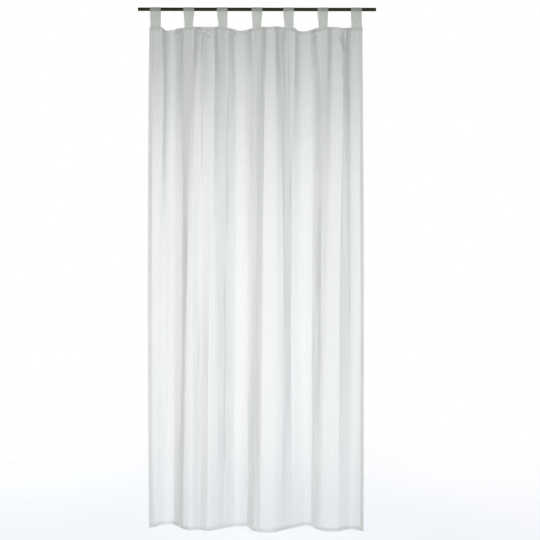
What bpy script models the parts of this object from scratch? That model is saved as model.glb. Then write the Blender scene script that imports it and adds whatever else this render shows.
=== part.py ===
"""Sheer voile curtain with seven tabs, hanging from a thin dark rod.

Units are metres and +Z is up. The origin is the middle of the rod's axis. +X runs along the rod, and -Y is
the side of the curtain that faces the room. The cloth hangs at rest, so its folds are part of its shape.
"""

from collections import namedtuple
from math import cos, pi, sin

import bpy
import bmesh
from mathutils import Vector

MM = 0.001

# rod
ROD_LENGTH = 1.118
ROD_RADIUS = 0.008
ROD_EDGE = 0.0005
ROD_SIDES = 40

# panel, measured down from the rod's axis
PANEL_THICKNESS = 0.0015
HEADING_DROP = 0.084
HEADING_BAND = 0.016
UPPER_DROP = 0.400
MIDDLE_DROP = 1.400
HEM_DROP = 2.443
HEM_SLOPE = 0.003
CREASE_FADE = 0.300
SAG_FADE = 0.500
COLUMNS_PER_SPAN = 3
ROWS_UPPER = 8
ROWS_LOWER = 13

# tabs
TAB_WIDTH = 0.048
TAB_THICKNESS = 0.0015
TAB_LAP = 0.014
CLEARANCE = 0.0003
TAB_COLUMNS = 2
TAB_WRAP_STEPS = 12
TAB_DROP_STEPS = 7

# The cloth's creases from left to right: place along the rod and depth behind it, both in millimetres, at
# the heading and at the upper, middle and hem drops. crisp_top and crisp say how sharp the crease is at the
# heading and below it, from 0, a round fold, to 1, a pressed one. sag is how far the heading's edge droops
# there, in millimetres.
Crease = namedtuple("Crease", "name heading upper middle hem crisp_top crisp sag")
CREASES = [Crease(*row) for row in (
    ("left_edge",   (-507, 4),   (-510, 2),   (-513, -4),  (-503, 0),    1.0, 0.0, 0),
    ("side_fold",   (-443, -4),  (-441, -4),  (-466, 4),   (-487, 9),    1.0, 0.5, 0),
    ("back_1_in",   (-430, 48),  (-430, 47),  (-428, 62),  (-443, 108),  0.3, 0.3, 1),
    ("back_1_mid",  (-405, 56),  (-405, 57),  (-409, 72),  (-424, 109),  0.0, 0.0, 3),
    ("back_1_out",  (-381, 50),  (-386, 51),  (-395, 64),  (-408, 97),   0.3, 0.2, 1),
    ("fold_2_in",   (-348, 9),   (-352, 9),   (-362, 33),  (-363, 41),   1.0, 0.4, 0),
    ("fold_2_out",  (-293, -9),  (-301, -24), (-331, -24), (-352, 6),    1.0, 0.3, 0),
    ("front_1_in",  (-277, -48), (-284, -44), (-298, -47), (-315, -30),  0.3, 0.2, 8),
    ("front_1_mid", (-240, -57), (-255, -45), (-257, -41), (-270, -47),  0.0, 0.7, 10),
    ("front_1_out", (-195, -50), (-195, -53), (-218, -53), (-217, -40),  0.3, 0.3, 7),
    ("fold_3_in",   (-185, -9),  (-173, -14), (-177, -32), (-190, -5),   1.0, 0.2, 0),
    ("fold_3_out",  (-135, 9),   (-130, 12),  (-148, 13),  (-179, 18),   1.0, 0.6, 0),
    ("back_2_in",   (-110, 50),  (-109, 55),  (-103, 56),  (-80, 61),    0.3, 0.4, 1),
    ("back_2_mid",  (-82, 58),   (-82, 61),   (-77, 62),   (-64, 63),    0.0, 0.0, 2),
    ("back_2_out",  (-53, 50),   (-52, 55),   (-48, 57),   (-47, 54),    0.3, 0.2, 1),
    ("fold_4_in",   (-27, 9),    (-3, 14),    (-8, 17),    (-36, 12),    1.0, 0.3, 0),
    ("fold_4_out",  (26, -9),    (14, -14),   (10, -20),   (-22, -32),   1.0, 0.2, 0),
    ("front_2_in",  (39, -48),   (33, -49),   (26, -53),   (14, -64),    0.3, 0.6, 8),
    ("front_2_mid", (61, -55),   (61, -56),   (62, -59),   (40, -68),    0.0, 0.0, 10),
    ("front_2_out", (87, -50),   (89, -51),   (103, -54),  (80, -56),    0.3, 0.3, 8),
    ("fold_5_in",   (103, -18),  (123, -14),  (125, -41),  (118, -18),   1.0, 0.4, 2),
    ("fold_5_out",  (176, 9),    (182, 10),   (164, 34),   (168, 29),    1.0, 0.6, 0),
    ("back_3_in",   (197, 50),   (199, 49),   (203, 54),   (222, 75),    0.3, 0.3, 2),
    ("back_3_mid",  (228, 58),   (233, 59),   (235, 61),   (238, 82),    0.0, 0.0, 4),
    ("back_3_out",  (260, 50),   (266, 53),   (263, 58),   (260, 72),    0.3, 0.3, 2),
    ("fold_6_in",   (284, 9),    (301, 2),    (297, 0),    (281, 17),    1.0, 0.3, 0),
    ("fold_6_out",  (335, -9),   (331, -14),  (317, -22),  (303, -16),   1.0, 0.2, 0),
    ("front_3_in",  (349, -48),  (347, -47),  (343, -45),  (335, -34),   0.3, 0.3, 9),
    ("front_3_out", (388, -50),  (399, -49),  (386, -45),  (384, -32),   0.3, 0.4, 11),
    ("fold_7",      (439, 8),    (436, 12),   (443, 32),   (430, 4),     1.0, 0.7, 0),
    ("right_mid",   (467, 1),    (471, 10),   (474, 27),   (452, 11),    1.0, 0.0, 0),
    ("right_edge",  (495, -6),   (497, -4),   (502, 6),    (495, -39),   1.0, 0.0, 0),
)]

# The tabs: place on the rod and on the heading, both in millimetres along the rod.
Tab = namedtuple("Tab", "name rod heading")
TABS = [Tab(*row) for row in (
    ("tab_1", -477.5, -477.0),
    ("tab_2", -320.5, -321.0),
    ("tab_3", -163.5, -160.5),
    ("tab_4", 0.0, -0.5),
    ("tab_5", 148.0, 150.5),
    ("tab_6", 309.0, 310.0),
    ("tab_7", 466.5, 468.0),
)]


def smooth(t):
    """Ease from 0 to 1 with level ends."""
    t = min(max(t, 0.0), 1.0)
    return t * t * (3.0 - 2.0 * t)


def hermite(a, b, slope_a, slope_b, t):
    """Point at t on the cubic from a to b with the given end slopes."""
    t2 = t * t
    t3 = t2 * t
    return (
        a * (2.0 * t3 - 3.0 * t2 + 1.0)
        + slope_a * (t3 - 2.0 * t2 + t)
        + b * (3.0 * t2 - 2.0 * t3)
        + slope_b * (t3 - t2)
    )


def crease_at(crease, drop):
    """Plan position (x, y) of one crease at a drop below the rod. The heading's band hangs straight."""
    drops = (HEADING_DROP + HEADING_BAND, UPPER_DROP, MIDDLE_DROP, HEM_DROP)
    plan = [Vector(point) * MM for point in (crease.heading, crease.upper, crease.middle, crease.hem)]
    if drop <= drops[0]:
        return plan[0]
    slopes = [Vector((0.0, 0.0))]
    for i in (1, 2):
        slopes.append((plan[i + 1] - plan[i - 1]) / (drops[i + 1] - drops[i - 1]))
    slopes.append((plan[3] - plan[2]) / (drops[3] - drops[2]))
    i = max(k for k in range(3) if k == 0 or drop > drops[k])
    span = drops[i + 1] - drops[i]
    t = min((drop - drops[i]) / span, 1.0)
    return hermite(plan[i], plan[i + 1], slopes[i] * span, slopes[i + 1] * span, t)


def section(drop):
    """The creases' plan positions at one drop, with the slope of the cloth through each of them."""
    points = [crease_at(crease, drop) for crease in CREASES]
    fade = smooth((drop - HEADING_DROP - HEADING_BAND) / CREASE_FADE)
    slopes = []
    for k, crease in enumerate(CREASES):
        crisp = crease.crisp_top + (crease.crisp - crease.crisp_top) * fade
        before = points[max(k - 1, 0)]
        after = points[min(k + 1, len(points) - 1)]
        chord = (after - before).length
        slopes.append((after - before) * (1.0 - crisp) / chord)
    return points, slopes


def cloth_point(points, slopes, span, t):
    """Plan position between two neighbouring creases."""
    a = points[span]
    b = points[span + 1]
    length = (b - a).length
    return hermite(a, b, slopes[span] * length, slopes[span + 1] * length, t)


def sag_at(span, t):
    """How far the heading's edge droops between the tabs."""
    here = CREASES[span].sag
    return MM * (here + (CREASES[span + 1].sag - here) * smooth(t))


def panel_drops():
    """Drops of the panel's rows: the heading's band, then closer rows near the heading than below."""
    drops = [HEADING_DROP, HEADING_DROP + HEADING_BAND]
    for rows, start, end in ((ROWS_UPPER, drops[-1], UPPER_DROP), (ROWS_LOWER, UPPER_DROP, HEM_DROP)):
        drops += [start + (end - start) * (row + 1) / rows for row in range(rows)]
    return drops


def mesh_object(name, grid, material, collection):
    """An open sheet of quads through a grid of points, as an object."""
    mesh = bpy.data.meshes.new(name)
    sheet = bmesh.new()
    verts = [[sheet.verts.new(point) for point in row] for row in grid]
    for upper, lower in zip(verts, verts[1:]):
        for k in range(len(upper) - 1):
            sheet.faces.new((upper[k], lower[k], lower[k + 1], upper[k + 1]))
    sheet.normal_update()
    sheet.to_mesh(mesh)
    sheet.free()
    mesh.shade_smooth()
    mesh.materials.append(material)
    piece = bpy.data.objects.new(name, mesh)
    collection.objects.link(piece)
    return piece


def thicken(piece, thickness):
    """Give a sheet its thickness, half to each side."""
    solid = piece.modifiers.new("cloth", "SOLIDIFY")
    solid.thickness = thickness
    solid.offset = 0.0
    solid.use_even_offset = True


def add_panel(material, collection):
    """The hanging cloth, from its heading to its hem."""
    grid = []
    for drop in panel_drops():
        points, slopes = section(drop)
        sagging = 1.0 - smooth((drop - HEADING_DROP) / SAG_FADE)
        row = []
        for span in range(len(CREASES) - 1):
            last = span == len(CREASES) - 2
            for step in range(COLUMNS_PER_SPAN + last):
                t = step / COLUMNS_PER_SPAN
                plan = cloth_point(points, slopes, span, t)
                slope = HEM_SLOPE * plan.x * smooth(drop / HEM_DROP)
                row.append((plan.x, plan.y, -drop - slope - sag_at(span, t) * sagging))
        grid.append(row)
    panel = mesh_object("panel", grid, material, collection)
    thicken(panel, PANEL_THICKNESS)


def heading_line(x):
    """Depth of the heading at a tab, and the plan direction in which the heading runs there."""
    points, _ = section(HEADING_DROP)
    for a, b in zip(points, points[1:]):
        if a.x <= x <= b.x:
            direction = (b - a).normalized()
            return a.y + (x - a.x) * direction.y / direction.x, direction
    raise ValueError("tab off the heading")


def add_tab(name, rod_x, heading_x, material, collection):
    """One strap: up the front of the heading, over the rod and down the heading's back."""
    heading_y, direction = heading_line(heading_x)
    across_heading = Vector((direction.x, direction.y, 0.0))
    away = Vector((-direction.y, direction.x, 0.0))
    wrap = ROD_RADIUS + CLEARANCE + TAB_THICKNESS / 2.0
    lap = PANEL_THICKNESS / 2.0 + CLEARANCE + TAB_THICKNESS / 2.0

    def drop_line(part, side):
        """Middle and width direction of the strap, from 0 at the rod to 1 at the heading."""
        eased = smooth(part)
        middle = Vector((rod_x, side * wrap, 0.0)).lerp(
            Vector((heading_x, heading_y, 0.0)) + away * side * lap, eased
        )
        middle.z = -HEADING_DROP * part
        return middle, Vector((1.0, 0.0, 0.0)).lerp(across_heading, eased).normalized()

    def lap_line(side):
        """The strap's sewn end, which lies flat on the heading."""
        middle, across = drop_line(1.0, side)
        return middle - Vector((0.0, 0.0, TAB_LAP)), across

    lines = [lap_line(-1.0)]
    lines += [drop_line(1.0 - step / TAB_DROP_STEPS, -1.0) for step in range(TAB_DROP_STEPS)]
    for step in range(TAB_WRAP_STEPS + 1):
        turn = pi * step / TAB_WRAP_STEPS
        lines.append((Vector((rod_x, -wrap * cos(turn), wrap * sin(turn))), Vector((1.0, 0.0, 0.0))))
    lines += [drop_line((step + 1) / TAB_DROP_STEPS, 1.0) for step in range(TAB_DROP_STEPS)]
    lines.append(lap_line(1.0))

    grid = []
    for middle, across in lines:
        offsets = [TAB_WIDTH * (column / TAB_COLUMNS - 0.5) for column in range(TAB_COLUMNS + 1)]
        grid.append([middle + across * offset for offset in offsets])
    tab = mesh_object(name, grid, material, collection)
    thicken(tab, TAB_THICKNESS)


def add_rod(material, collection):
    """The straight rod, with slightly eased square ends."""
    mesh = bpy.data.meshes.new("rod")
    bar = bmesh.new()
    bmesh.ops.create_cone(
        bar, cap_ends=True, segments=ROD_SIDES, radius1=ROD_RADIUS, radius2=ROD_RADIUS, depth=ROD_LENGTH
    )
    bar.to_mesh(mesh)
    bar.free()
    mesh.shade_smooth()
    mesh.set_sharp_from_angle(angle=pi / 6.0)
    mesh.materials.append(material)
    rod = bpy.data.objects.new("rod", mesh)
    rod.rotation_euler = (0.0, pi / 2.0, 0.0)
    edge = rod.modifiers.new("eased ends", "BEVEL")
    edge.width = ROD_EDGE
    edge.segments = 1
    edge.limit_method = "ANGLE"
    collection.objects.link(rod)


def plain_material(name, color, roughness, metallic=0.0, alpha=1.0):
    """A Principled material in one colour."""
    material = bpy.data.materials.new(name)
    material.use_nodes = True
    shader = material.node_tree.nodes["Principled BSDF"]
    shader.inputs["Base Color"].default_value = (*color, 1.0)
    shader.inputs["Roughness"].default_value = roughness
    shader.inputs["Metallic"].default_value = metallic
    shader.inputs["Alpha"].default_value = alpha
    return material


def build():
    for old in list(bpy.data.objects):
        bpy.data.objects.remove(old)
    collection = bpy.data.collections.new("sheer_voile_curtain")
    bpy.context.scene.collection.children.link(collection)

    add_rod(plain_material("dark_rod", (0.035, 0.028, 0.022), 0.35, metallic=0.6), collection)
    add_panel(plain_material("voile", (0.90, 0.90, 0.90), 0.9, alpha=0.65), collection)
    for tab in TABS:
        strap = plain_material("voile_" + tab.name, (0.86, 0.87, 0.86), 0.9, alpha=0.9)
        add_tab(tab.name, tab.rod * MM, tab.heading * MM, strap, collection)


build()
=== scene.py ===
"""Looks of the sheer voile curtain that hangs by seven straps from a thin dark rod.

Metres, +Z up, in the frame's own axes: +X runs along the rod, -Y faces the room, and the origin is the
middle of the rod's axis. The cloth is one thin sheet on the folds of its solid, with its hems turned, its
straps looped over the rod and its seams stitched.
"""

from collections import namedtuple
from math import pi, radians

import bmesh
import bpy
import numpy as np
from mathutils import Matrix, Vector


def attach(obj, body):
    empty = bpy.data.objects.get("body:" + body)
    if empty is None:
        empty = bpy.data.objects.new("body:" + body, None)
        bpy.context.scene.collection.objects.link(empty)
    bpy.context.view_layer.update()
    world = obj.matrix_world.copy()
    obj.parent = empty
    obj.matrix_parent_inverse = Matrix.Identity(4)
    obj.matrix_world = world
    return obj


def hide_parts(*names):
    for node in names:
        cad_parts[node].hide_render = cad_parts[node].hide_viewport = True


MM = 0.001

# the rod and the panel's drops below its axis, as in the solids
ROD_RADIUS = 0.008
HEADING_DROP = 0.084
HEADING_BAND = 0.016
UPPER_DROP = 0.400
MIDDLE_DROP = 1.400
HEM_DROP = 2.443
LEVELS = (HEADING_DROP + HEADING_BAND, UPPER_DROP, MIDDLE_DROP, HEM_DROP)
HEM_SLOPE = 0.003
CREASE_FADE = 0.300
SAG_FADE = 0.500

# the cloth's cut and its grid
CLOTH_WIDTH = 1.400
CLOTH_LENGTH = HEM_DROP - HEADING_DROP
COLUMN_STEP = 0.0031
EDGE_COLUMN_STEP = 0.0025
LEAST_COLUMNS = 3
MEASURED_DROPS = 12
UPPER_ROWS = 62
LOWER_ROWS = 91
HEM_ROWS = 6
HEM_STEP = 0.0008

# double-turned hems, stitched close to their inner fold
SIDE_HEM = 0.018
BOTTOM_HEM = 0.016
HEADING_HEM = 0.016
LAYER_GAP = 0.0003
HEM_BLEND = 0.010
STITCH_INSET = 0.0018

# the grid lines of a hem: degrees round its outer fold, then shares of its width on its turned layers
FOLD_ANGLES = (45.0, 90.0, 135.0)
UNDER_SHARES = (0.0, 0.25, 0.5, 0.75, 1.0)
TUCK_SHARES = (1.0, 0.7, 0.4, 0.1)

# the cloth's width beside each edge where its flat distances are true, and where that fades
TRUE_EDGE = 0.020
TRUE_EDGE_FADE = 0.080

# straps: their size, half their thickness in the middle and at the edges, and their grid
STRAP_WIDTH = 0.050
STRAP_PUFF = 0.0006
STRAP_EDGE = 0.00015
PUFF_POWER = 6
STRAP_LAP = 0.014
STRAP_CLEARANCE = 0.0003
STRAP_COLUMNS = 17
STRAP_DROP_STEPS = 20
STRAP_WRAP_STEPS = 20
STRAP_LAP_STEPS = 4

# the seam along each edge of a strap, and the curl of the strap where it hangs free
STRAP_SEAM = 0.0028
SEAM_WIDTH = 0.0008
SEAM_PINCH = 0.6
SEAM_COLUMN = 2
STRAP_CURL = 0.0012
FREE_FADE = 0.020
LAP_BLEND = 0.004

# sewing thread: its stitches, and in thread radii how thick its ends are and how far it rises and sinks
STITCH_PITCH = 0.0036
STITCH_LENGTH = 0.0027
THREAD_RADIUS = 0.00017
THREAD_END = 0.6
THREAD_RISE = 1.5
THREAD_SINK = 0.5
SEAM_POINTS = 700
SEAM_INSET = 0.002

# The cloth's creases from left to right: place along the rod and depth behind it, both in millimetres, at
# the heading and at the upper, middle and hem drops. crisp_top and crisp say how sharp the crease is at the
# heading and below it, from 0, a round fold, to 1, a pressed one. sag is how far the heading's edge droops
# there, in millimetres.
Crease = namedtuple("Crease", "name heading upper middle hem crisp_top crisp sag")
CREASES = [Crease(*row) for row in (
    ("left_edge",   (-507, 4),   (-510, 2),   (-512, 4),   (-506, 14),  1.0, 0.0, 0),
    ("side_fold",   (-445, -4),  (-441, -2),  (-474, 16),  (-489, 25),  1.0, 0.3, 0),
    ("back_1_in",   (-432, 38),  (-430, 40),  (-430, 37),  (-445, 87),  0.3, 0.2, 4),
    ("back_1_mid",  (-403, 56),  (-405, 56),  (-410, 49),  (-424, 93),  0.0, 0.0, -2),
    ("back_1_out",  (-383, 48),  (-388, 48),  (-393, 47),  (-398, 88),  0.0, 0.7, -7),
    ("fold_2_in",   (-348, 9),   (-349, 12),  (-354, 29),  (-368, 43),  1.0, 0.5, 0),
    ("fold_2_out",  (-296, -12), (-308, -24), (-326, -36), (-345, -5),  1.0, 0.3, 0),
    ("front_1_in",  (-270, -43), (-285, -43), (-299, -46), (-315, -32), 0.3, 0.8, 11),
    ("front_1_mid", (-240, -54), (-255, -41), (-262, -27), (-266, -22), 0.0, 0.3, 15),
    ("front_1_out", (-197, -49), (-197, -52), (-218, -53), (-222, -42), 0.3, 0.8, 13),
    ("fold_3_in",   (-183, -12), (-173, -17), (-184, -33), (-186, -10), 0.5, 0.2, 0),
    ("fold_3_out",  (-135, 9),   (-134, 19),  (-147, 15),  (-152, 22),  1.0, 0.9, 0),
    ("back_2_in",   (-110, 47),  (-104, 52),  (-100, 56),  (-104, 56),  0.3, 1.0, -4),
    ("back_2_mid",  (-84, 58),   (-83, 61),   (-77, 60),   (-64, 62),   0.0, 0.0, -1),
    ("back_2_out",  (-60, 50),   (-55, 55),   (-44, 56),   (-43, 54),   0.3, 0.2, -1),
    ("fold_4_in",   (-25, 16),   (-5, 12),    (-9, 14),    (-30, 10),   1.0, 0.3, 0),
    ("fold_4_out",  (25, -9),    (17, -14),   (9, -24),    (-14, -34),  0.6, 0.2, 0),
    ("front_2_in",  (42, -46),   (37, -48),   (29, -51),   (21, -62),   0.3, 0.8, 12),
    ("front_2_mid", (61, -54),   (61, -56),   (62, -57),   (45, -66),   0.0, 0.0, 14),
    ("front_2_out", (86, -49),   (89, -51),   (98, -53),   (82, -56),   0.3, 0.3, 10),
    ("fold_5_in",   (104, -20),  (113, -26),  (126, -38),  (120, -20),  0.7, 0.5, 2),
    ("fold_5_out",  (180, 13),   (177, 20),   (163, 38),   (168, 29),   1.0, 0.8, 0),
    ("back_3_in",   (198, 48),   (204, 47),   (204, 53),   (222, 72),   0.3, 0.3, 3),
    ("back_3_mid",  (228, 57),   (233, 58),   (235, 60),   (238, 80),   0.0, 0.0, 2),
    ("back_3_out",  (254, 49),   (265, 52),   (262, 57),   (260, 70),   0.3, 0.5, -2),
    ("fold_6_in",   (279, 9),    (301, 5),    (298, -14),  (281, 17),   1.0, 0.5, 0),
    ("fold_6_out",  (333, -9),   (333, -25),  (322, -36),  (303, -16),  0.7, 0.2, 0),
    ("front_3_in",  (350, -46),  (352, -45),  (350, -41),  (335, -34),  0.3, 0.3, 12),
    ("front_3_out", (393, -49),  (400, -47),  (386, -43),  (384, -32),  0.3, 0.9, 17),
    ("fold_7",      (440, 4),    (441, 6),    (443, 19),   (430, 4),    1.0, 0.8, 0),
    ("right_mid",   (467, 1),    (471, 10),   (474, 27),   (452, 11),   1.0, 0.0, 0),
    ("right_edge",  (495, -6),   (498, -4),   (504, 6),    (499, -34),  1.0, 0.0, 0),
)]

# Soft troughs and ridges between the folds: where each starts and ends, as place along the rod and drop
# below its axis, its half-width and its height towards the room, all in millimetres, and how much denser the
# pinched cloth looks along it, which the material also paints as darker threads, painted shade, or below 0
# as a painted highlight. A trough's height is below 0. A shade or a gleam has none: a shade is only painted
# shade, where the cloth looks denser and darker, and a gleam only a painted highlight, where it looks
# thinner and lighter. All fade at both ends, over PLEAT_FADE of their length.
PLEAT_FADE = 0.3
Pleat = namedtuple("Pleat", "name start end width height pinch")
PLEATS = [Pleat(*row) for row in (
    ("drag_1_ridge",   (-398, 118),  (-346, 106),  4.0, 3.6,  0.0),
    ("drag_1_trough",  (-397, 129),  (-342, 115),  4.0, -3.0, 0.2),
    ("swirl_2_a",      (-276, 90),   (-243, 109),  4.0, 4.2,  0.0),
    ("swirl_2_b",      (-257, 124),  (-233, 100),  4.0, -4.6, 0.3),
    ("swirl_2_c",      (-237, 100),  (-204, 119),  4.0, 4.2,  0.0),
    ("swirl_2_d",      (-243, 112),  (-208, 131),  4.0, -4.2, 0.3),
    ("swirl_2_e",      (-272, 132),  (-248, 108),  4.0, 3.4,  0.0),
    ("gather_2",       (-251, 92),   (-253, 230),  3.5, -1.6, 0.5),
    ("drag_3_a",       (-131, 86),   (-92, 109),   4.0, -4.8, 0.3),
    ("drag_3_b",       (-133, 95),   (-101, 113),  3.5, 3.6,  0.0),
    ("drag_3_c",       (-129, 106),  (-101, 119),  3.5, -3.2, 0.3),
    ("gather_4_a",     (-36, 88),    (-36, 180),   3.0, -1.2, 0.2),
    ("gather_4_b",     (-10, 88),    (-10, 170),   3.0, -1.4, 0.4),
    ("gather_5_a",     (120, 88),    (121, 230),   3.5, -1.4, 0.5),
    ("gather_5_b",     (134, 88),    (134, 165),   3.5, -1.4, 0.5),
    ("drag_5_left",    (172, 86),    (198, 112),   4.0, -3.6, 0.2),
    ("drag_5_ridge",   (266, 108),   (306, 99),    3.5, 3.8,  0.0),
    ("drag_5_trough",  (253, 127),   (284, 113),   4.0, -4.2, 0.3),
    ("drag_5_under",   (256, 141),   (275, 128),   3.5, -3.0, 0.2),
    ("swirl_6_ridge",  (392, 98),    (426, 91),    3.5, 3.4,  0.0),
    ("swirl_6_trough", (410, 112),   (438, 88),    4.0, -4.4, 0.4),
    ("corner_7_left",  (384, 104),   (418, 200),   5.0, -6.0, 1.3),
    ("corner_7_mid",   (393, 84),    (410, 156),   5.0, -4.0, 1.0),
    ("corner_7_ridge", (416, 84),    (412, 144),   4.0, 4.0,  -0.4),
    ("corner_7_right", (424, 80),    (423, 205),   5.0, -4.0, 0.6),
    ("corner_7_side",  (366, 110),   (400, 205),   5.0, 3.0,  0.0),
    ("corner_7_fold",  (430, 150),   (430, 420),   4.0, -2.6, 0.1),
    ("feather_7_a",    (388, 270),   (409, 302),   3.5, -2.6, 0.3),
    ("feather_7_b",    (392, 360),   (412, 398),   3.5, -2.0, 0.2),
    ("feather_7_c",    (388, 512),   (409, 552),   3.5, -2.4, 0.3),
    ("line_2_upper",   (-257, 240),  (-255, 860),  3.0, -1.0, 0.7),
    ("line_2_left",    (-286, 880),  (-293, 2400), 3.5, -0.8, 0.25),
    ("line_2_middle",  (-268, 1300), (-274, 2400), 3.5, -0.8, 0.3),
    ("line_2_right",   (-229, 1100), (-236, 2400), 3.5, -0.8, 0.0),
    ("line_3_upper",   (-134, 300),  (-143, 1100), 4.0, -0.8, 0.9),
    ("line_3_lower",   (-146, 1100), (-152, 2300), 4.0, -1.0, 0.6),
    ("line_3_ridge",   (-97, 1000),  (-101, 2300), 5.0, 1.8,  0.0),
    ("line_4_lower",   (-9, 1600),   (-16, 2350),  3.5, -0.8, 0.5),
    ("line_5_upper",   (123, 300),   (127, 1100),  3.0, -1.0, 0.7),
    ("line_5_middle",  (152, 60),    (153, 720),   3.0, -0.8, 0.5),
    ("line_5_edge",    (158, 600),   (161, 1300),  3.0, -0.8, 0.35),
    ("line_6",         (297, 820),   (296, 1750),  3.5, -1.0, 0.7),
    ("line_7",         (437, 620),   (440, 1750),  3.5, -1.0, 0.35),
    ("knot_4_low",     (-48, 2130),  (-30, 2235),  5.0, -3.6, 0.4),
    ("knot_4_ridge",   (-62, 2165),  (-38, 2250),  5.0, 2.4,  0.0),
    ("shade_1_upper",  (-352, 150),  (-336, 1400), 9.0, 0.0,  0.25),
    ("shade_1_lower",  (-334, 800),  (-366, 2950), 7.0, 0.0,  0.5),
    ("shade_2",        (-238, -150), (-242, 520),  26.0, 0.0, 0.35),
    ("shade_3",        (-160, -150), (-160, 420),  18.0, 0.0, 0.25),
    ("shade_3_right",  (-134, 300),  (-138, 2300), 12.0, 0.0, 0.25),
    ("shade_4_left",   (-30, 300),   (-32, 1300),  24.0, 0.0, 0.25),
    ("shade_4_upper",  (22, -100),   (-2, 1500),   9.0, 0.0,  0.15),
    ("shade_4_lower",  (4, 1000),    (-36, 2700),  10.0, 0.0, 0.4),
    ("shade_4_right",  (12, 1400),   (8, 2600),    10.0, 0.0, 0.5),
    ("shade_5_left",   (100, 500),   (108, 1900),  12.0, 0.0, 0.3),
    ("shade_5",        (127, -300),  (127, 960),   22.0, 0.0, 0.35),
    ("shade_5_right",  (186, 200),   (184, 1600),  11.0, 0.0, 0.25),
    ("shade_6_left",   (297, 300),   (292, 2300),  7.0, 0.0,  0.4),
    ("shade_6_right",  (332, 60),    (318, 1900),  16.0, 0.0, 0.3),
    ("gleam_1",        (-400, -250), (-396, 900),  14.0, 0.0, -0.18),
    ("gleam_2",        (-297, -250), (-297, 560),  8.0, 0.0,  -0.25),
    ("gleam_2_right",  (-206, 300),  (-208, 1900), 7.0, 0.0,  -0.25),
    ("gleam_7",        (406, 350),   (412, 1350),  7.0, 0.0,  -0.4),
)]

# Bands where the cloth looks denser than its slope makes it: their left and right edges along the rod at the
# middle and hem drops, the drop where they start and how far they take to their full density, all in
# millimetres, and how many times denser they get. A denser band is partly denser cloth and partly painted
# shade, as the material darkens its threads there. Below 1, the cloth looks thinner and lighter: a painted
# highlight.
Band = namedtuple("Band", "name left right start fade density")
BANDS = [Band(*row) for row in (
    ("side_band",  (-392, -396), (-362, -368), 950,  250, 1.15),
    ("front_band", (-289, -296), (-222, -231), 1150, 550, 1.50),
    ("back_band",  (-188, -190), (-101, -108), 950,  500, 1.10),
    ("back_inner", (-153, -160), (-101, -108), 1150, 700, 1.20),
    ("mid_band",   (-40, -76),   (25, 12),     1000, 900, 1.15),
    ("left_face",  (-487, -482), (-385, -396), 250,  800, 0.72),
    ("left_band",  (-487, -482), (-400, -396), 1850, 450, 0.80),
)]
BAND_EDGE = 0.002

# Fine ripples that run with the threads: width across them, length along them and height, in millimetres.
Ripple = namedtuple("Ripple", "width length height seed")
RIPPLES = [Ripple(*row) for row in (
    (64.0, 1100.0, 1.5, 11),
    (27.0, 520.0, 0.75, 12),
    (12.0, 300.0, 0.30, 13),
)]
HEADING_GATHER = Ripple(11.0, 55.0, 1.0, 21)
HEM_PUCKER = Ripple(17.0, 60.0, 0.9, 22)
SIDE_PUCKER = Ripple(40.0, 24.0, 0.7, 23)
HEM_WAVE = Ripple(130.0, 900.0, 1.6, 24)
STRAP_WRINKLE = Ripple(16.0, 30.0, 0.9, None)
LATTICE_SIZE = 256

# how far the gathers and puckers reach from the heading, the bottom hem and the side hems
HEADING_GATHER_FADE = 0.050
HEM_PUCKER_FADE = 0.040
SIDE_PUCKER_FADE = 0.012

# The straps: place on the rod and on the heading, both in millimetres along the rod, and how much narrower
# each is drawn together where it is sewn down. The seed is that of its wrinkles.
Strap = namedtuple("Strap", "name node rod heading gather seed")
STRAPS = [Strap(*row) for row in (
    ("strap_1", "tab_1", -477.5, -477.0, 0.0,  41),
    ("strap_2", "tab_2", -320.5, -321.0, 0.13, 42),
    ("strap_3", "tab_3", -163.5, -160.5, 0.11, 43),
    ("strap_4", "tab_4", 0.0,    -0.5,   0.11, 44),
    ("strap_5", "tab_5", 148.0,  150.5,  0.09, 45),
    ("strap_6", "tab_6", 309.0,  310.0,  0.13, 46),
    ("strap_7", "tab_7", 466.5,  468.0,  0.02, 47),
)]

# How much of the view one layer of cloth covers, face on: low on the panel, at its heading, the drop over
# which it fades, on a strap and on its lap.
PANEL_COVER = 0.58
HEADING_COVER = 0.85
COVER_FADE = 0.900
STRAP_COVER = 0.42
LAP_COVER = 0.04

# Where the cloth turns away it covers more, up to MOST_COVER. STEEPEST is the least share of it that counts
# as facing the room, and a wall is fully steep where the way through it is longer by STEEP_RANGE.
MOST_COVER = 0.98
STEEPEST = 0.28
STEEP_RANGE = 1.2

# A hem's layers lie close, so each covers less than a single one: how many times less, for the hem at the
# heading and the side hems near it, for the side hems below, and for the bottom hem.
TOP_THINNING = 3.0
SIDE_THINNING = 1.14
BOTTOM_THINNING = 1.05
THINNING_DROP = 0.200
THINNING_FADE = 0.600

# the fold along the heading's edge is closed, so it covers more
EDGE_COVER = 0.60
EDGE_BAND = 0.004

# Light seeps through the threads, so a shadow of the cloth is lighter than the cloth is dense.
SHADOW_SHARE = 0.45

# the streaks' darkest threads against the cloth's own tone, which they reach where the cloth is steep: slubs
# and painted shade on the folds' walls; and how far a band twice as dense turns to them, painted shade
DARKEST_THREADS_AND_SHADE = 0.84
DENSE_SHADE = 0.40

# how far the streaks swing the cover: everywhere, more where the cloth is steep, and more in a dense band
STREAK_SWING = 0.012
STEEP_SWING = 0.10
DENSE_SWING = 0.19

# the threads' tones, with the hems' darker tone as painted shade, how steep a strap counts, and the pitch of
# the weave
VOILE_TONE = (0.880, 0.90, 0.903)
HEM_SHADED_TONE = (0.853, 0.855, 0.849)
STRAP_TONE = (0.865, 0.889, 0.865)
STRAP_STEEP = 0.3
WEAVE_PITCH = 0.0008

# camera
CAMERA_PLACE = (0.061, -4.300, -1.389)
CAMERA_LENS = 61.0
CAMERA_SHIFT = (0.0007, 0.0648)
CAMERA_ROLL = 0.08

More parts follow.
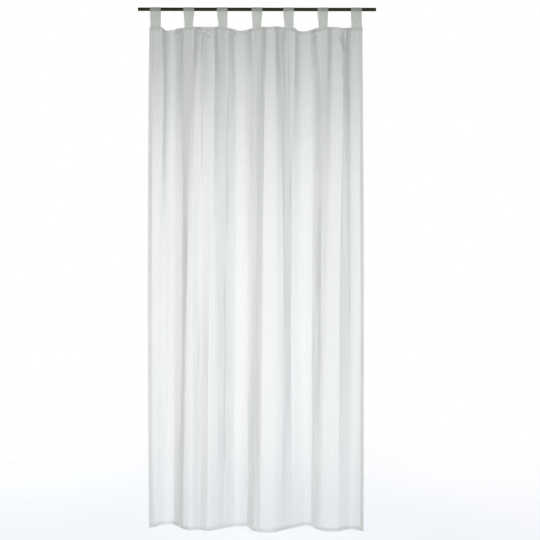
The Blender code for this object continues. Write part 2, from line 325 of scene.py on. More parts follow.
# the floor: its level, half its width, where it starts to fade and where it is gone, and its glow
FLOOR_Z = -2.470
FLOOR_HALF = 3.0
FLOOR_FADE = 0.9
FLOOR_RIM = 2.9
FLOOR_GLOW = 0.78
FLOOR_SEEN_GLOW = 0.14

# the light from all round: the heights between which it fades, and its strength at each
SKY_FADE = (-0.2, 0.7, 0.455, 0.205)

# Soft rectangular lights, two dim ones in the room and two behind: place, width and height, the angle of the
# cone in degrees, power and colour.
WARM = (1.0, 0.945, 0.88)
COOL = (0.90, 0.95, 1.0)
SoftLight = namedtuple("SoftLight", "name place size spread power color")
LIGHTS = [SoftLight(*row) for row in (
    ("room_left",    (-0.9, -1.4, -1.47), (0.9, 2.3), 72.0,  3.15, WARM),
    ("room_right",   (0.9, -1.4, -1.47),  (0.9, 2.3), 72.0,  3.25, COOL),
    ("behind_left",  (-1.6, 2.0, -1.4),   (1.0, 1.6), 180.0, 14.0, COOL),
    ("behind_right", (1.6, 2.0, -1.4),    (1.0, 1.6), 180.0, 11.0, WARM),
)]


# ---- small tools ----


def smooth(t):
    """Ease from 0 to 1 with level ends."""
    t = np.clip(t, 0.0, 1.0)
    return t * t * (3.0 - 2.0 * t)


def hermite(a, b, slope_a, slope_b, t):
    """Point at t on the cubic from a to b with the given end slopes."""
    t2 = t * t
    t3 = t2 * t
    return (
        a * (2.0 * t3 - 3.0 * t2 + 1.0)
        + slope_a * (t3 - 2.0 * t2 + t)
        + b * (3.0 * t2 - 2.0 * t3)
        + slope_b * (t3 - t2)
    )


def unit(vectors):
    """Vectors along the last axis, at length 1."""
    return vectors / np.linalg.norm(vectors, axis=-1, keepdims=True)


def distances(points, axis=0):
    """Distance of each point from the first along a line, or along an axis of a grid on average."""
    steps = np.linalg.norm(np.diff(points, axis=axis), axis=-1)
    if steps.ndim > 1:
        steps = steps.mean(axis=1 - axis)
    return np.concatenate(([0.0], np.cumsum(steps)))


def read_line(line, along, places):
    """Points of a line at places along it, where along gives the places of its own points."""
    return np.stack([np.interp(places, along, column) for column in line.T], axis=1)


def read_grid(grid, rows, columns, t, s):
    """Values of a grid between two of its rows, at t, and two of its columns, at s."""
    upper, lower = (grid[row, columns[0]] * (1.0 - s) + grid[row, columns[1]] * s for row in rows)
    return upper * (1.0 - t) + lower * t


def random_field(across, down, ripple):
    """Smooth random heights in metres over the cloth, with the ripple's cell size and height."""
    size = LATTICE_SIZE
    lattice = np.random.default_rng(ripple.seed).uniform(-1.0, 1.0, (size, size))
    a, b = np.broadcast_arrays(across / (ripple.width * MM), down / (ripple.length * MM))
    i = np.floor(a).astype(int)
    j = np.floor(b).astype(int)
    rows = (j % size, (j + 1) % size)
    columns = (i % size, (i + 1) % size)
    return ripple.height * MM * read_grid(lattice, rows, columns, smooth(b - j), smooth(a - i))


def new_object(name, data):
    """A new object in the scene."""
    made = bpy.data.objects.new(name, data)
    bpy.context.scene.collection.objects.link(made)
    return made


def mesh_piece(name, points, faces, material):
    """A smooth shaded mesh object that rides on the part."""
    mesh = bpy.data.meshes.new(name)
    mesh.from_pydata(points.reshape(-1, 3).tolist(), [], faces)
    mesh.shade_smooth()
    mesh.materials.append(material)
    piece = new_object(name, mesh)
    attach(piece, "root")
    return piece


def grid_faces(rows, columns, around=False):
    """Quads of a grid of points in row order. With around, each row closes on itself."""
    row, column = np.mgrid[0:rows - 1, 0:columns if around else columns - 1]
    after = (column + 1) % columns
    quads = np.stack((
        row * columns + column,
        (row + 1) * columns + column,
        (row + 1) * columns + after,
        row * columns + after,
    ), axis=-1)
    return quads.reshape(-1, 4).tolist()


def add_map(mesh, name, places):
    """A UV map with one place for each vertex."""
    corners = np.empty(len(mesh.loops), dtype=np.int32)
    mesh.loops.foreach_get("vertex_index", corners)
    layer = mesh.uv_layers.new(name=name)
    layer.uv.foreach_set("vector", places.reshape(-1, 2)[corners].astype(np.float32).ravel())


def add_values(mesh, name, values):
    """One number for each vertex, for the material to read."""
    layer = mesh.attributes.new(name, "FLOAT", "POINT")
    layer.data.foreach_set("value", values.astype(np.float32).ravel())


# ---- the hanging cloth ----


def crease_lines(drops):
    """Plan position of every crease at every drop, and the cloth's slope through it."""
    knots = MM * np.array([crease[1:5] for crease in CREASES])
    levels = np.array(LEVELS)
    rates = np.zeros_like(knots)
    rates[:, 1:3] = (knots[:, 2:] - knots[:, :2]) / (levels[2:] - levels[:2])[:, None]
    rates[:, 3] = (knots[:, 3] - knots[:, 2]) / (levels[3] - levels[2])
    above = np.clip(np.searchsorted(levels, drops) - 1, 0, 2)
    length = (levels[above + 1] - levels[above])[:, None]
    t = np.clip((drops - levels[above])[:, None] / length, 0.0, 1.0)
    points = hermite(
        knots[:, above], knots[:, above + 1], rates[:, above] * length, rates[:, above + 1] * length, t
    ).swapaxes(0, 1)

    fade = smooth((drops - LEVELS[0]) / CREASE_FADE)[:, None]
    crisp_top = np.array([crease.crisp_top for crease in CREASES])
    crisp = crisp_top + (np.array([crease.crisp for crease in CREASES]) - crisp_top) * fade
    before = np.concatenate((points[:, :1], points[:, :-1]), axis=1)
    after = np.concatenate((points[:, 1:], points[:, -1:]), axis=1)
    chord = np.linalg.norm(after - before, axis=2)
    return points, (after - before) * ((1.0 - crisp) / chord)[:, :, None]


def lay_columns():
    """The span between two creases and the place in it of every column, closest at the side hems."""
    points, _ = crease_lines(np.linspace(HEADING_DROP, HEM_DROP, MEASURED_DROPS))
    lengths = np.linalg.norm(np.diff(points, axis=1), axis=2).mean(axis=0)
    last = len(lengths) - 1
    spans = []
    shares = []
    for span, length in enumerate(lengths):
        step = EDGE_COLUMN_STEP if span in (0, last) else COLUMN_STEP
        count = max(LEAST_COLUMNS, round(length / step))
        spans += [span] * count
        shares += [k / count for k in range(count)]
    return np.array(spans + [last]), np.array(shares + [1.0])


def lay_rows():
    """Drops of the rows, with one at the inner fold of each hem and the next just past it."""
    heading_fold = HEADING_DROP + HEADING_HEM
    bottom_fold = HEM_DROP - BOTTOM_HEM
    return np.concatenate((
        np.linspace(HEADING_DROP, heading_fold, HEM_ROWS),
        np.linspace(heading_fold + HEM_STEP, UPPER_DROP, UPPER_ROWS)[:-1],
        np.linspace(UPPER_DROP, bottom_fold - HEM_STEP, LOWER_ROWS),
        np.linspace(bottom_fold, HEM_DROP, HEM_ROWS),
    ))


def meet_side_hems(across):
    """Flat distances of the columns, with one on each side hem's inner fold and the next just past it."""
    met = across.copy()
    left = np.searchsorted(across, SIDE_HEM)
    right = np.searchsorted(across, across[-1] - SIDE_HEM) - 1
    met[left:left + 2] = SIDE_HEM, SIDE_HEM + HEM_STEP
    met[right - 1:right + 1] = across[-1] - SIDE_HEM - HEM_STEP, across[-1] - SIDE_HEM
    return met


class Sheet:
    """The face of the hanging cloth: a grid of points that can be read anywhere by its flat distances."""

    def __init__(self, points, across, down):
        self.points = points
        self.across = across
        self.down = down
        along_row = np.gradient(points, across, axis=1)
        along_column = np.gradient(points, down, axis=0)
        self.normals = unit(np.cross(along_column, along_row))

    def at(self, across, down):
        """Points on the cloth, and the directions there that face the room."""
        i = np.clip(np.searchsorted(self.across, across) - 1, 0, len(self.across) - 2)
        j = np.clip(np.searchsorted(self.down, down) - 1, 0, len(self.down) - 2)
        s = ((across - self.across[i]) / (self.across[i + 1] - self.across[i]))[..., None]
        t = ((down - self.down[j]) / (self.down[j + 1] - self.down[j]))[..., None]
        rows = (j, j + 1)
        columns = (i, i + 1)
        normals = read_grid(self.normals, rows, columns, t, s)
        return read_grid(self.points, rows, columns, t, s), unit(normals)

    def across_heading(self, x, offsets):
        """Flat distances from the left edge, at offsets along the heading from its place x."""
        heading = self.points[0]
        along = distances(heading)
        return np.interp(np.interp(x, heading[:, 0], along) + offsets, along, self.across)


def pleat_fields(x, drop):
    """Height towards the room of all the pleats together, and how much denser they make the cloth look,
    partly as painted shade.
    """
    height = np.zeros(np.broadcast(x, drop).shape)
    pinch = np.zeros(height.shape)
    for pleat in PLEATS:
        start = MM * np.array(pleat.start)
        run = MM * np.array(pleat.end) - start
        length = np.linalg.norm(run)
        along = ((x - start[0]) * run[0] + (drop - start[1]) * run[1]) / length**2
        aside = ((x - start[0]) * run[1] - (drop - start[1]) * run[0]) / length
        strength = smooth(np.minimum(along, 1.0 - along) / PLEAT_FADE)
        strength = strength * np.exp(-(aside / (pleat.width * MM)) ** 2)
        height += pleat.height * MM * strength
        pinch += pleat.pinch * strength
    return height, pinch


def detail_heights(x, drop, across, down):
    """Height towards the room of the ripples, gathers, puckers and pleats."""
    total, _ = pleat_fields(x, drop)
    for ripple in RIPPLES:
        total = total + random_field(across, down, ripple)
    to_side = np.minimum(across, CLOTH_WIDTH - across)
    total += random_field(across, down, HEADING_GATHER) * np.exp(-down / HEADING_GATHER_FADE)
    total += random_field(across, down, HEM_PUCKER) * np.exp(-(CLOTH_LENGTH - down) / HEM_PUCKER_FADE)
    total += random_field(across, down, SIDE_PUCKER) * np.exp(-to_side / SIDE_PUCKER_FADE)
    return total


def true_edges(plan, across):
    """The plan, with the points near both ends of each row slid along to their true flat distances."""
    slid = plan.copy()
    from_left = across
    from_right = across[-1] - across
    hold_left = 1.0 - smooth((from_left - TRUE_EDGE) / TRUE_EDGE_FADE)
    hold_right = 1.0 - smooth((from_right - TRUE_EDGE) / TRUE_EDGE_FADE)
    for row in slid:
        arc = distances(row)
        places = arc + hold_left * (from_left - arc) + hold_right * (arc[-1] - from_right - arc)
        row[:] = read_line(row, arc, places)
    return slid


def hang_cloth():
    """The cloth's face, from its heading's edge to its hem."""
    drops = lay_rows()
    spans, shares = lay_columns()
    points, slopes = crease_lines(drops)
    a = points[:, spans]
    b = points[:, spans + 1]
    length = np.linalg.norm(b - a, axis=2, keepdims=True)
    plan = hermite(a, b, slopes[:, spans] * length, slopes[:, spans + 1] * length, shares[:, None])

    across = distances(plan, axis=1)
    across = meet_side_hems(across * CLOTH_WIDTH / across[-1])
    plan = true_edges(plan, across)
    down = drops - HEADING_DROP

    sags = np.array([crease.sag for crease in CREASES])
    sag = MM * (sags[spans] + (sags[spans + 1] - sags[spans]) * smooth(shares))
    drop = drops[:, None]
    x = plan[:, :, 0]
    z = -drop - HEM_SLOPE * x * smooth(drop / HEM_DROP) - sag * (1.0 - smooth(down[:, None] / SAG_FADE))
    z = z + random_field(across, down[:, None], HEM_WAVE) * smooth(down[:, None] / CLOTH_LENGTH)
    face = Sheet(np.dstack((plan, z)), across, down)
    heights = detail_heights(x, drop, across, down[:, None])
    return Sheet(face.points + face.normals * heights[:, :, None], across, down)


# One line of a turned hem: how far it lies in from the outer fold, how many side hems and how many single
# layers lie between it and the cloth's face, which way its stack faces, and its flat distance past the fold.
Turn = namedtuple("Turn", "inset stacks layers facing flat")


def hem_turns(width):
    """The lines of a double-turned hem, from its outer fold round to its raw edge."""
    turns = []
    for angle in FOLD_ANGLES:
        c, s = np.cos(radians(angle)), np.sin(radians(angle))
        turns.append(Turn(-LAYER_GAP * s, 1.5 * (1.0 - c), 1.0 - c, c, LAYER_GAP * radians(angle)))
    for share in UNDER_SHARES:
        turns.append(Turn(width * share, 3.0, 2.0, -1.0, width * share + LAYER_GAP * pi))
    turns.append(Turn(width + LAYER_GAP, 2.0, 1.5, 0.0, width + LAYER_GAP * 4.0))
    for share in TUCK_SHARES:
        turns.append(Turn(width * share, 1.0, 1.0, 1.0, width * (2.0 - share) + LAYER_GAP * 5.0))
    return turns


def hemmed_lines(places, first_hem, last_hem):
    """All grid lines in one direction, hems included, as an array for each field of Turn."""
    total = places[-1]
    lines = [Turn(turn.inset, *turn[1:4], -turn.flat) for turn in reversed(hem_turns(first_hem))]
    lines += [Turn(place, 0.0, 0.0, 1.0, place) for place in places]
    lines += [Turn(total - turn.inset, *turn[1:4], total + turn.flat) for turn in hem_turns(last_hem)]
    return np.array(lines).T


def cover_of(normals, down):
    """How much of the view the threads of one layer cover: more where the cloth turns away from the room."""
    face_on = np.clip(np.abs(normals[..., 1]), STEEPEST, 1.0)
    flat_cover = PANEL_COVER + (HEADING_COVER - PANEL_COVER) * (1.0 - smooth(down / COVER_FADE))
    return np.minimum(1.0 - (1.0 - flat_cover) ** (1.0 / face_on), MOST_COVER)


def steepness(normals):
    """How far the cloth turns away from the room, from 0, face on, to 1."""
    return smooth((1.0 / np.clip(np.abs(normals[..., 1]), STEEPEST, 1.0) - 1.0) / STEEP_RANGE)


def band_density_and_shade(x, drop):
    """How many times denser than elsewhere the cloth looks, from the tables of pleats and bands, partly
    painted shade.
    """
    density = 1.0 + pleat_fields(x, drop)[1]
    lower = (drop - MIDDLE_DROP) / (HEM_DROP - MIDDLE_DROP)
    for band in BANDS:
        left, right = (MM * (edge[0] + (edge[1] - edge[0]) * lower) for edge in (band.left, band.right))
        inside = smooth((x - left) / BAND_EDGE + 0.5) * smooth((right - x) / BAND_EDGE + 0.5)
        density += (band.density - 1.0) * inside * smooth((drop / MM - band.start) / band.fade)
    return density


def trim_corners(rows, columns, cloth):
    """The faces of the hemmed grid, without the side hems' turned cloth inside the top and bottom hems."""
    faces = np.array(grid_faces(rows, columns))
    row, column = np.divmod(np.arange(len(faces)), columns - 1)
    side = (columns - len(cloth.across)) // 2
    end = (rows - len(cloth.down)) // 2 + HEM_ROWS - 1
    in_side = (column < side) | (column >= columns - 1 - side)
    in_end = (row < end) | (row >= rows - 1 - end)
    return faces[~(in_side & in_end)].tolist()


def drop_loose_points(mesh):
    """Delete the points that no face uses."""
    work = bmesh.new()
    work.from_mesh(mesh)
    loose = [point for point in work.verts if not point.link_faces]
    bmesh.ops.delete(work, geom=loose, context="VERTS")
    work.to_mesh(mesh)
    work.free()


def add_panel(cloth, material):
    """The cloth with its hems, as one thin sheet."""
    across, _, side_layers, _, flat_u = hemmed_lines(cloth.across, SIDE_HEM, SIDE_HEM)
    down, stacks, layers, facing, flat_v = (
        line[:, None] for line in hemmed_lines(cloth.down, HEADING_HEM, BOTTOM_HEM)
    )
    points, normals = cloth.at(across[None, :], down)

    # A side hem is two layers thicker, so the top and bottom hems stand further off where they meet it.
    from_side = np.minimum(across, CLOTH_WIDTH - across)
    side_stack = 2.0 * LAYER_GAP * (1.0 - smooth((from_side - SIDE_HEM) / HEM_BLEND))
    behind = stacks * side_stack + layers * LAYER_GAP + facing * side_layers * LAYER_GAP
    points = points - normals * behind[:, :, None]

    panel = mesh_piece("voile_panel", points, trim_corners(*points.shape[:2], cloth), material)
    flat = np.dstack(np.broadcast_arrays(flat_u[None, :], flat_v))
    low = flat.min(axis=(0, 1))
    high = flat.max(axis=(0, 1))
    add_map(panel.data, "flat", flat)
    add_map(panel.data, "OFBake", (flat - low) / (high - low))
    in_side = np.broadcast_to(from_side < SIDE_HEM + LAYER_GAP, points.shape[:2])
    in_heading = down < HEADING_HEM + LAYER_GAP
    in_bottom = CLOTH_LENGTH - down < BOTTOM_HEM + LAYER_GAP
    density = band_density_and_shade(points[:, :, 0], down + HEADING_DROP)
    cover = 1.0 - (1.0 - cover_of(normals, down)) ** density
    thinning = TOP_THINNING + (SIDE_THINNING - TOP_THINNING) * smooth((down - THINNING_DROP) / THINNING_FADE)
    thinning = np.where(in_side, thinning, 1.0)
    thinning = np.where(in_heading, TOP_THINNING, thinning)
    thinning = np.where(in_bottom, BOTTOM_THINNING, thinning)
    cover = 1.0 - (1.0 - cover) ** (1.0 / thinning)
    cover = np.where(down < EDGE_BAND, EDGE_COVER, cover)
    add_values(panel.data, "cover", cover)
    # how steep the cloth is, where the material also darkens its streaks as painted shade
    add_values(panel.data, "steep", steepness(normals))
    # how much denser the cloth looks, which the material also paints as darker threads, painted shade
    add_values(panel.data, "dense_and_shade", density - 1.0)
    # the hems, which the material paints in their darker tone, painted shade
    add_values(panel.data, "hem", (in_side | in_heading | in_bottom).astype(float))
    drop_loose_points(panel.data)
    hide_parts("panel")
    return panel, tuple(float(size) for size in high - low)


# ---- straps ----


def strap_lines(cloth, strap, offsets):
    """The middle surface of a strap: up the heading's front, over the rod and down the heading's back."""
    wrap = ROD_RADIUS + STRAP_CLEARANCE + STRAP_PUFF
    rod_x = strap.rod * MM
    gathered = cloth.across_heading(strap.heading * MM, offsets * (1.0 - strap.gather))
    heading_back = 2.0 * LAYER_GAP

    def lap(side, down):
        """One line across the strap where it lies on the heading. side is 1 in the room and -1 behind."""
        points, normals = cloth.at(gathered, np.full_like(gathered, down))
        off = STRAP_PUFF + STRAP_CLEARANCE + (0.0 if side > 0 else heading_back)
        return points + normals * side * off

    def hang(side, part):
        """One line between the rod, at part 0, and the heading's edge, at part 1."""
        eased = smooth(part)
        y = np.full_like(offsets, -side * wrap)
        top = np.stack((rod_x + offsets, y, np.zeros_like(offsets)), axis=1)
        line = top * (1.0 - eased) + lap(side, 0.0) * eased
        line[:, 2] = lap(side, 0.0)[:, 2] * part
        return line

    lines = [lap(1.0, STRAP_LAP * (1.0 - k / STRAP_LAP_STEPS)) for k in range(STRAP_LAP_STEPS)]
    lines += [hang(1.0, 1.0 - k / STRAP_DROP_STEPS) for k in range(STRAP_DROP_STEPS)]
    for turn in np.linspace(0.0, pi, STRAP_WRAP_STEPS + 1):
        y = np.full_like(offsets, -wrap * np.cos(turn))
        z = np.full_like(offsets, wrap * np.sin(turn))
        lines.append(np.stack((rod_x + offsets, y, z), axis=1))
    lines += [hang(-1.0, (k + 1) / STRAP_DROP_STEPS) for k in range(STRAP_DROP_STEPS)]
    lines += [lap(-1.0, STRAP_LAP * (k + 1) / STRAP_LAP_STEPS) for k in range(STRAP_LAP_STEPS)]
    return np.array(lines)


def add_strap(cloth, strap, material):
    """One strap, a flat tube of cloth with a seam along each edge, its flat size and its seam lines."""
    half = STRAP_WIDTH / 2.0
    offsets = half * np.sin(np.linspace(-pi / 2.0, pi / 2.0, STRAP_COLUMNS))
    middle = strap_lines(cloth, strap, offsets)
    along = distances(middle)
    outward = unit(np.cross(np.gradient(middle, axis=1), np.gradient(middle, axis=0)))

    # It wrinkles where it hangs free, and is pulled flat round the rod and where it is sewn.
    total = along[-1]
    from_rod = np.abs(along - total / 2.0) - pi * ROD_RADIUS / 2.0
    from_lap = np.minimum(along, total - along) - STRAP_LAP
    free = (smooth(from_rod / FREE_FADE) * smooth(from_lap / FREE_FADE))[:, None]
    wrinkle = random_field(offsets + half, along[:, None], STRAP_WRINKLE._replace(seed=strap.seed))
    curl = -STRAP_CURL * (offsets / half) ** 2
    middle = middle + outward * (free * (wrinkle + curl))[:, :, None]

    seam = np.exp(-((half - STRAP_SEAM - np.abs(offsets)) / SEAM_WIDTH) ** 2)
    cover = LAP_COVER + (STRAP_COVER - LAP_COVER) * smooth(from_lap / LAP_BLEND + 0.5)
    filled = (1.0 - (np.abs(offsets) / half) ** PUFF_POWER) * (1.0 - SEAM_PINCH * seam)
    puff = STRAP_EDGE + (STRAP_PUFF - STRAP_EDGE) * filled
    outer = middle + outward * puff[None, :, None]
    inner = middle - outward * puff[None, :, None]
    rings = np.concatenate((outer, inner[:, ::-1]), axis=1)
    count = rings.shape[1]
    faces = grid_faces(len(rings), count, around=True)
    for end, base in ((0, 0), (1, (len(rings) - 1) * count)):
        for k in range(STRAP_COLUMNS - 1):
            cap = [base + k, base + k + 1, base + count - 2 - k, base + count - 1 - k]
            faces.append(cap if end else cap[::-1])
    piece = mesh_piece(strap.name, rings, faces, material)
    around = np.concatenate((offsets + half, 2.0 * STRAP_WIDTH - (offsets[::-1] + half)))
    add_map(piece.data, "flat", np.dstack(np.broadcast_arrays(around[None, :], along[:, None])))
    add_values(piece.data, "cover", np.broadcast_to(cover[:, None], rings.shape[:2]))
    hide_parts(strap.node)

    seams = []
    for column in (SEAM_COLUMN, STRAP_COLUMNS - 1 - SEAM_COLUMN):
        seams.append((outer[:, column], outward[:, column]))
    between = slice(SEAM_COLUMN, -SEAM_COLUMN)
    for line in (1, STRAP_LAP_STEPS - 1, len(outer) - STRAP_LAP_STEPS, len(outer) - 2):
        seams.append((outer[line, between], outward[line, between]))
    return piece, (STRAP_WIDTH, float(total)), seams


# ---- stitching ----


def hem_seams(cloth):
    """The stitched lines of all four hems, on the cloth's face and on its back."""
    side = SIDE_HEM - STITCH_INSET
    lines = []
    down = np.linspace(SEAM_INSET, CLOTH_LENGTH - SEAM_INSET, SEAM_POINTS)
    for across in (side, CLOTH_WIDTH - side):
        lines.append((np.full_like(down, across), down))
    across = np.linspace(SEAM_INSET, CLOTH_WIDTH - SEAM_INSET, SEAM_POINTS)
    for down in (HEADING_HEM - STITCH_INSET, CLOTH_LENGTH - BOTTOM_HEM + STITCH_INSET):
        lines.append((across, np.full_like(across, down)))
    front = []
    back = []
    for across, down in lines:
        points, normals = cloth.at(across, down)
        front.append((points, normals))
        back.append((points - normals * 2.0 * LAYER_GAP, -normals))
    return front, back


def add_stitches(name, seams, material):
    """Short threads along every seam, each sunk into the cloth at both ends."""
    rings = 5
    sides = 5
    starts = []
    ends = []
    ups = []
    for points, normals in seams:
        along = distances(points)
        first = np.arange(0.0, along[-1] - STITCH_LENGTH, STITCH_PITCH)
        starts.append(read_line(points, along, first))
        ends.append(read_line(points, along, first + STITCH_LENGTH))
        ups.append(unit(read_line(normals, along, first + STITCH_LENGTH / 2.0)))
    start, end, up = (np.concatenate(found)[:, None, None, :] for found in (starts, ends, ups))
    t = np.linspace(0.0, 1.0, rings)[None, :, None, None]
    turn = (2.0 * pi * np.arange(sides) / sides)[None, None, :, None]
    side = unit(np.cross(end - start, up))
    bulge = np.sin(pi * t)
    radius = THREAD_RADIUS * (THREAD_END + (1.0 - THREAD_END) * bulge)
    line = start + (end - start) * t + up * THREAD_RADIUS * (THREAD_RISE * bulge - THREAD_SINK)
    points = line + radius * (up * np.cos(turn) + side * np.sin(turn))

    tube = np.array(grid_faces(rings, sides, around=True))
    each = (np.arange(len(start)) * rings * sides)[:, None, None]
    faces = (tube[None] + each).reshape(-1, 4).tolist()
    cap = np.arange(sides)
    faces += (cap[None] + each[:, 0]).tolist()
    faces += (cap[::-1][None] + (rings - 1) * sides + each[:, 0]).tolist()
    piece = mesh_piece(name, points, faces, material)
    return piece


# ---- materials ----


class Nodes:
    """The node tree of a material or world, with short calls to add and join nodes."""

    def __init__(self, owner):
        owner.use_nodes = True
        self.owner = owner
        self.tree = owner.node_tree

    def add(self, kind, inputs=(), **settings):
        """A new node with its settings made and its inputs set or joined."""
        node = self.tree.nodes.new("ShaderNode" + kind)
        for name, value in settings.items():
            setattr(node, name, value)
        self.feed(node, dict(inputs))
        return node

    def feed(self, node, inputs):
        """Join each of these inputs to another node's output, or give it a plain value."""
        for name, value in inputs.items():
            if isinstance(value, bpy.types.NodeSocket):
                self.tree.links.new(value, node.inputs[name])
            else:
                node.inputs[name].default_value = value

    def surface(self, inputs):
        """The material, with its surface shader's inputs set or joined."""
        self.feed(self.tree.nodes["Principled BSDF"], inputs)
        return self.owner

    def math(self, operation, a, b=0.0, c=0.0, clamp=False):
        """The result of one operation on two or three numbers."""
        return self.add("Math", {0: a, 1: b, 2: c}, operation=operation, use_clamp=clamp).outputs[0]

    def remap(self, value, low, high, to_low, to_high):
        """A value moved from one range to another, and held within it."""
        node = self.add("MapRange", {
            "Value": value, "From Min": low, "From Max": high, "To Min": to_low, "To Max": to_high,
        })
        return node.outputs["Result"]

    def mix(self, share, a, b):
        """Colour a where the share is 0, and b where it is 1."""
        return self.add("Mix", {"Factor": share, 6: a, 7: b}, data_type="RGBA").outputs[2]

    def bump(self, strength, distance, height):
        """The direction of the surface with this relief."""
        node = self.add("Bump", {"Strength": strength, "Distance": distance, "Height": height})
        return node.outputs["Normal"]

    def noise(self, place, scale, detail, roughness=0.5):
        """Noise on a plane, stretched by a scale for each way, in cells for each metre."""
        stretched = self.add("Mapping", {"Vector": place, "Scale": (*scale, 1.0)})
        node = self.add("TexNoise", {
            "Vector": stretched.outputs["Vector"], "Scale": 1.0, "Detail": detail, "Roughness": roughness,
        }, noise_dimensions="2D")
        return node.outputs[0]

    def weave(self, place, pitch):
        """Plain weave: 1 on a thread's crown and 0 in the holes between threads."""
        split = self.add("SeparateXYZ", {"Vector": place})
        ridges = []
        for axis in (0, 1):
            angle = self.math("MULTIPLY", split.outputs[axis], 2.0 * pi / pitch)
            ridges.append(self.math("MULTIPLY_ADD", self.math("SINE", angle), 0.5, 0.5))
        return self.math("MAXIMUM", *ridges)

    def attribute(self, name):
        """A number that the mesh holds for each of its points."""
        return self.add("Attribute", attribute_name=name).outputs["Fac"]


def voile_material(name, tone, shaded_hem_tone=None):
    """Sheer plain weave with slubby threads. With a shaded hem tone, it reads how steep and dense the cloth
    is, and darkens its threads there and on the hems: painted shade.
    """
    nodes = Nodes(bpy.data.materials.new(name))
    place = nodes.add("UVMap", uv_map="flat").outputs["UV"]
    streaks = nodes.noise(place, (140.0, 2.2), 3.0, roughness=0.65)
    clouds = nodes.noise(place, (22.0, 5.0), 2.0)
    slubs = nodes.noise(place, (1500.0, 24.0), 1.0)
    wefts = nodes.noise(place, (16.0, 1100.0), 1.0)
    weave = nodes.weave(place, WEAVE_PITCH)

    # steep and gathered set how far the streaks darken the threads below: painted shade where the cloth is
    # steep or dense
    steep = nodes.attribute("steep") if shaded_hem_tone else STRAP_STEEP
    gathered = steep
    streaky = nodes.math("MULTIPLY_ADD", steep, STEEP_SWING, STREAK_SWING)
    if shaded_hem_tone:
        dense_and_shade = nodes.attribute("dense_and_shade")
        gathered = nodes.math("ADD", steep, dense_and_shade, clamp=True)
        streaky = nodes.math("MULTIPLY_ADD", dense_and_shade, DENSE_SWING, streaky)
    swing = nodes.math("MULTIPLY", nodes.remap(streaks, 0.3, 0.7, -1.0, 1.0), streaky)
    for pattern, low, high, low_swing, high_swing in (
        (clouds, 0.3, 0.7, -0.012, 0.012),
        (slubs, 0.45, 0.75, -0.01, 0.03),
        (wefts, 0.45, 0.75, -0.01, 0.02),
        (weave, 0.0, 1.0, -0.06, 0.03),
    ):
        swing = nodes.math("ADD", swing, nodes.remap(pattern, low, high, low_swing, high_swing))
    alpha = nodes.math("ADD", nodes.attribute("cover"), swing, clamp=True)
    in_shadow = nodes.add("LightPath").outputs["Is Shadow Ray"]
    alpha = nodes.math("MULTIPLY", alpha, nodes.math("MULTIPLY_ADD", in_shadow, SHADOW_SHARE - 1.0, 1.0))

    # painted shade: the threads turn towards the darker tone along the streaks where the cloth is steep or
    # in a dense band, and less where a band is thinner
    dark = tuple(DARKEST_THREADS_AND_SHADE * part for part in tone)
    shade = nodes.math("MULTIPLY", nodes.remap(streaks, 0.35, 0.65, 0.0, 1.0), gathered)
    if shaded_hem_tone:
        shade = nodes.math("ADD", shade, nodes.math("MULTIPLY", dense_and_shade, DENSE_SHADE), clamp=True)
    thread_tone_and_shade = nodes.mix(shade, (*tone, 1.0), (*dark, 1.0))
    # painted shade: the hems take their darker tone
    if shaded_hem_tone:
        thread_tone_and_shade = nodes.mix(nodes.attribute("hem"), thread_tone_and_shade, (*shaded_hem_tone, 1.0))

    height = nodes.math("MULTIPLY", slubs, 0.5)
    for pattern, share in ((streaks, 1.6), (weave, 0.25)):
        height = nodes.math("ADD", height, nodes.math("MULTIPLY", pattern, share))
    return nodes.surface({
        "Base Color": thread_tone_and_shade,
        "Alpha": alpha,
        "Normal": nodes.bump(0.35, 0.0006, height),
        "Roughness": 0.85,
        "Specular IOR Level": 0.2,
        "Sheen Weight": 0.15,
        "Sheen Roughness": 0.5,
    })


def thread_material():
    """White sewing thread with its twist."""
    nodes = Nodes(bpy.data.materials.new("sewing_thread"))
    place = nodes.add("TexCoord").outputs["Object"]
    waves = {"Vector": place, "Scale": 900.0, "Distortion": 1.0}
    twist = nodes.add("TexWave", waves, bands_direction="DIAGONAL").outputs["Fac"]
    tone = nodes.mix(twist, (0.90, 0.91, 0.90, 1.0), (0.96, 0.97, 0.97, 1.0))
    return nodes.surface({"Base Color": tone, "Roughness": 0.6})


def rod_material():
    """Dark brown satin lacquer with fine drawn lines along the rod."""
    nodes = Nodes(bpy.data.materials.new("dark_brown_satin"))
    place = nodes.add("TexCoord").outputs["Object"]
    drawn = nodes.add("Mapping", {"Vector": place, "Scale": (6.0, 700.0, 700.0)}).outputs["Vector"]
    lines = nodes.add("TexNoise", {"Vector": drawn, "Scale": 1.0, "Detail": 3.0}).outputs[0]
    blotches = nodes.add("TexNoise", {"Vector": place, "Scale": 30.0, "Detail": 2.0}).outputs[0]
    brown = (0.030, 0.022, 0.010, 1.0)
    light_brown = (0.050, 0.037, 0.017, 1.0)
    dark_brown = (0.022, 0.015, 0.007, 1.0)
    tone = nodes.mix(nodes.remap(lines, 0.3, 0.7, 0.0, 1.0), brown, light_brown)
    tone = nodes.mix(nodes.remap(blotches, 0.35, 0.75, 0.0, 0.5), tone, dark_brown)
    return nodes.surface({
        "Base Color": tone,
        "Roughness": nodes.remap(lines, 0.3, 0.7, 0.34, 0.5),
        "Specular IOR Level": 0.3,
        "Normal": nodes.bump(0.15, 0.0002, lines),
    })


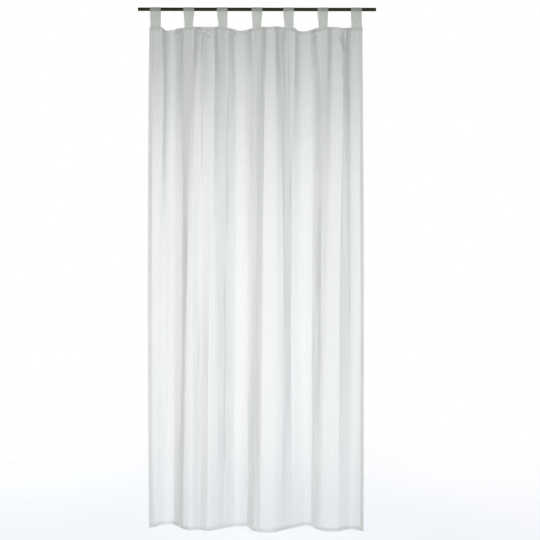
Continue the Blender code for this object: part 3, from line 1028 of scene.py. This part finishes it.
def floor_material():
    """Pale matte floor that fades out towards its rim, so that it has no horizon."""
    nodes = Nodes(bpy.data.materials.new("pale_floor"))
    place = nodes.add("TexCoord").outputs["Object"]
    radius = nodes.add("VectorMath", {0: place}, operation="LENGTH").outputs["Value"]
    grain = nodes.add("TexNoise", {"Vector": place, "Scale": 5.0, "Detail": 3.0}).outputs[0]
    seen = nodes.add("LightPath").outputs["Is Camera Ray"]
    return nodes.surface({
        "Base Color": (0.20, 0.21, 0.22, 1.0),
        "Emission Color": nodes.mix(grain, (0.85, 0.87, 0.915, 1.0), (0.87, 0.885, 0.925, 1.0)),
        "Emission Strength": nodes.math("MULTIPLY_ADD", seen, FLOOR_SEEN_GLOW, FLOOR_GLOW),
        "Alpha": nodes.remap(radius, FLOOR_FADE, FLOOR_RIM, 1.0, 0.0),
        "Roughness": 0.9,
    })


# ---- the stage ----


def add_floor():
    """A pale floor just below the hem."""
    half = FLOOR_HALF
    corners = [(-half, -half, 0.0), (half, -half, 0.0), (half, half, 0.0), (-half, half, 0.0)]
    mesh = bpy.data.meshes.new("floor")
    mesh.from_pydata(corners, [], [(0, 1, 2, 3)])
    mesh.materials.append(floor_material())
    floor = new_object("floor", mesh)
    floor.location = (0.0, 0.0, FLOOR_Z)


def add_lights():
    """The soft lights, each aimed level at the curtain's middle and not seen by the camera."""
    for soft in LIGHTS:
        data = bpy.data.lights.new(soft.name, "AREA")
        data.shape = "RECTANGLE"
        data.size, data.size_y = soft.size
        data.spread = radians(soft.spread)
        data.energy = soft.power
        data.color = soft.color
        light = new_object(soft.name, data)
        light.location = soft.place
        aim = Vector((-soft.place[0], -soft.place[1], 0.0))
        light.rotation_euler = aim.to_track_quat("-Z", "Y").to_euler()
        light.visible_camera = False


def add_world():
    """White behind everything, and a dim light on it that fades towards the top."""
    nodes = Nodes(bpy.data.worlds.new("studio"))
    nodes.tree.nodes.clear()
    direction = nodes.add("TexCoord").outputs["Generated"]
    height = nodes.add("SeparateXYZ", {"Vector": direction}).outputs["Z"]
    strength = nodes.remap(height, *SKY_FADE)
    light = nodes.add("Background", {"Color": (0.96, 1.0, 0.95, 1.0), "Strength": strength})
    seen = nodes.add("Background", {"Color": (1.0, 1.0, 1.0, 1.0)})
    by_camera = nodes.add("LightPath").outputs["Is Camera Ray"]
    both = nodes.add("MixShader", {0: by_camera, 1: light.outputs[0], 2: seen.outputs[0]})
    nodes.add("OutputWorld", {"Surface": both.outputs[0]})
    bpy.context.scene.world = nodes.owner


def add_camera():
    """Camera in front of the curtain, level, a little below its middle and turned by a hair."""
    data = bpy.data.cameras.new("camera")
    data.lens = CAMERA_LENS
    data.shift_x, data.shift_y = CAMERA_SHIFT
    camera = new_object("camera", data)
    camera.location = CAMERA_PLACE
    camera.rotation_euler = (radians(90.0), radians(-CAMERA_ROLL), 0.0)
    bpy.context.scene.camera = camera


# ---- all together ----


def dress(rod):
    """Build every soft piece and give the rod its finish."""
    cloth = hang_cloth()
    voile = voile_material("voile", VOILE_TONE, HEM_SHADED_TONE)
    panel, cut = add_panel(cloth, voile)
    tab_voile = voile_material("strap_voile", STRAP_TONE)
    strap_seams = []
    for strap in STRAPS:
        piece, flat, seams = add_strap(cloth, strap, tab_voile)
        strap_seams += seams

    thread = thread_material()
    front, back = hem_seams(cloth)
    sewing = [
        add_stitches("stitches_front", front, thread),
        add_stitches("stitches_back", back, thread),
        add_stitches("stitches_straps", strap_seams, thread),
    ]

    rod.data.materials.clear()
    rod.data.materials.append(rod_material())


bpy.context.scene.view_settings.view_transform = "Standard"
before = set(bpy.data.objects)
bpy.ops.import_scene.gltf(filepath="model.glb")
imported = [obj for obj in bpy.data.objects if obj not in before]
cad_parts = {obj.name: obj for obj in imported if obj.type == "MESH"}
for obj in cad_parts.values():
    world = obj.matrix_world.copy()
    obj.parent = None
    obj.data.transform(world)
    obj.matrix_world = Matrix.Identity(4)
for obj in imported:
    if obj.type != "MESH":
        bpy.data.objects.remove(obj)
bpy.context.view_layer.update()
dress(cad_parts["rod"])
add_floor()
add_lights()
add_world()
add_camera()
